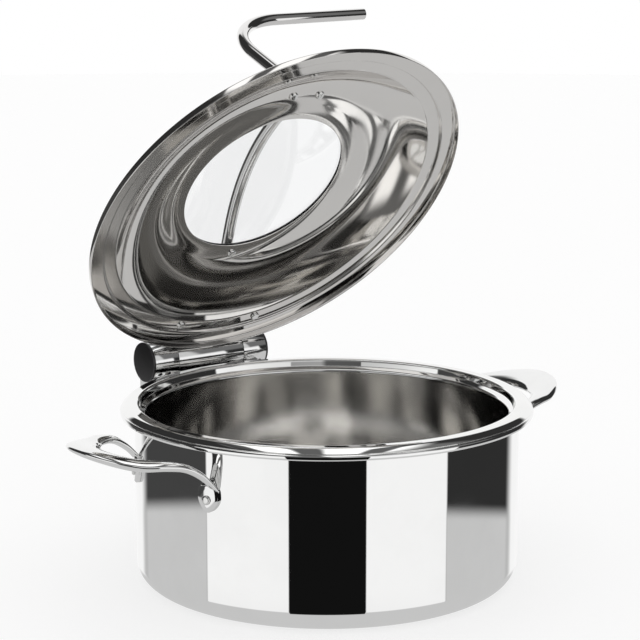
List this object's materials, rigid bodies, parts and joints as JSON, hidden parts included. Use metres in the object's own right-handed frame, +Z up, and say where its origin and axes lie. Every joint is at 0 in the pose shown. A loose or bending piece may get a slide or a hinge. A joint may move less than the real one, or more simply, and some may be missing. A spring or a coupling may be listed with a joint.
{
  "type": "soup kettle",
  "caption": "Straight-walled steel soup kettle with insert pan, riveted side handles and a domed lid with a round window on a damped rear hinge.",
  "frame": {"origin": "centre of the pot's flat underside", "axes": "+Z up, hinge at +Y, side handles along X, the lid's grip points to +X"},
  "size_m": [0.512, 0.4076, 0.4915],
  "materials": {
    "mirror_steel": "mirror-polished stainless steel sheet",
    "satin_steel": "satin stainless steel, turned inside, polished rim",
    "cast_steel": "cast stainless steel, polished",
    "bar_steel": "polished round stainless bar",
    "fastener_steel": "bright stainless fastener",
    "set_screw_steel": "blackened steel set screw",
    "cap_steel": "turned steel disc",
    "damper_steel": "ground steel",
    "magnetic_steel": "magnetic stainless plate",
    "bush_bronze": "plain sintered bronze",
    "silicone": "translucent grey silicone",
    "clear_glass": "clear toughened glass"
  },
  "bodies": {
    "base": {"outer_pot": "mirror_steel", "induction_disc": "magnetic_steel", "insert_pan": "satin_steel", "left_side_handle": "cast_steel", "right_side_handle": "cast_steel", "side_handle_rivets": "fastener_steel", "hinge_bracket": "cast_steel", "bracket_rivets": "fastener_steel", "damper_cartridge": "damper_steel", "pivot_plug": "damper_steel", "hinge_shaft": "damper_steel", "left_end_cap": "cap_steel", "right_end_cap": "cap_steel", "knuckle_set_screws": "set_screw_steel"},
    "lid": {"lid_shell": "mirror_steel", "window_seal": "silicone", "window_glass": "clear_glass", "lid_hinge_leaf": "cast_steel", "hinge_bushes": "bush_bronze", "leaf_screws": "fastener_steel", "lid_handle_bar": "bar_steel", "handle_rear_post": "bar_steel", "handle_front_foot": "bar_steel", "lid_handle_screws": "fastener_steel"}
  },
  "joints": [
    {"name": "lid_hinge", "type": "hinge", "parent": "base", "child": "lid", "pos_m": [0, 0.2062, 0.1642], "axis": [-1, 0, 0], "range_deg": [-52, 38]}
  ]
}
